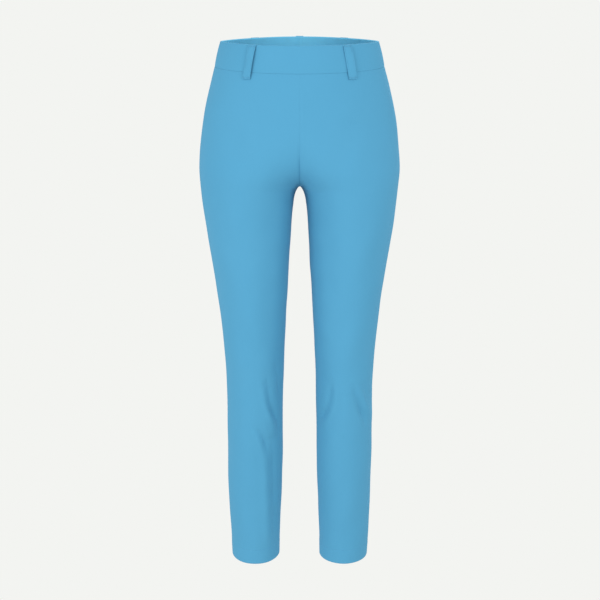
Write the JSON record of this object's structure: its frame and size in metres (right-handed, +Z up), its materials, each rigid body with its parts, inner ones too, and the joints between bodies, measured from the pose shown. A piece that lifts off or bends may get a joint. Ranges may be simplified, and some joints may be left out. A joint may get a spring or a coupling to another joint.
{
  "type": "treggings",
  "caption": "Pull-on ankle-length treggings in stretch cloth, in their hollow worn form, with a plain waistband, belt loops and turned hems.",
  "frame": {"origin": "middle of the waist opening, level with the top of the waistband at the side seams, where the wearer holds the garment up", "axes": "+Z up, out of the waist; -Y to the front; +X to the wearer's left"},
  "size_m": [0.3556, 0.2342, 0.9748],
  "materials": {
    "cloth": "matt sky-blue stretch twill",
    "waistband_cloth": "the same cloth, doubled over elastic",
    "loop_cloth": "the same cloth in narrow folded strips"
  },
  "bodies": {
    "root": {"leg_front_left": "cloth", "leg_front_right": "cloth", "leg_back_left": "cloth", "leg_back_right": "cloth", "waistband_front": "waistband_cloth", "waistband_back_left": "waistband_cloth", "waistband_back_right": "waistband_cloth", "belt_loop_front_left": "loop_cloth", "belt_loop_front_right": "loop_cloth", "belt_loop_back_left": "loop_cloth", "belt_loop_back_right": "loop_cloth", "belt_loop_back_centre": "loop_cloth"}
  },
  "joints": []
}
